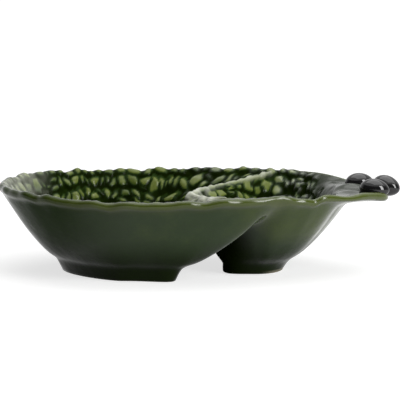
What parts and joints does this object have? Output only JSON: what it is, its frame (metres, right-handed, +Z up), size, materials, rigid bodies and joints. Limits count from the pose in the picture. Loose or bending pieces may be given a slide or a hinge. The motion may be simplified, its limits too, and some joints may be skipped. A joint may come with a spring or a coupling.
{
  "type": "olive dish",
  "caption": "Egg-shaped glazed earthenware dish with a large well for olives, a small well for stones, a ridge between them, a scalloped rim, separate feet and black olives on its tip.",
  "frame": {"origin": "middle of the object's length and width, on the table that the feet stand on", "axes": "+X from the round end to the tip with the olives, +Y to the back, +Z up"},
  "size_m": [0.2066, 0.135, 0.0488],
  "materials": {
    "green_glaze": "gloss green glaze, darker where it pools",
    "black_glaze": "gloss black glaze"
  },
  "bodies": {
    "root": {"dish_body": "green_glaze", "olive_front": "black_glaze", "olive_end": "black_glaze", "olive_back": "black_glaze"}
  },
  "joints": []
}
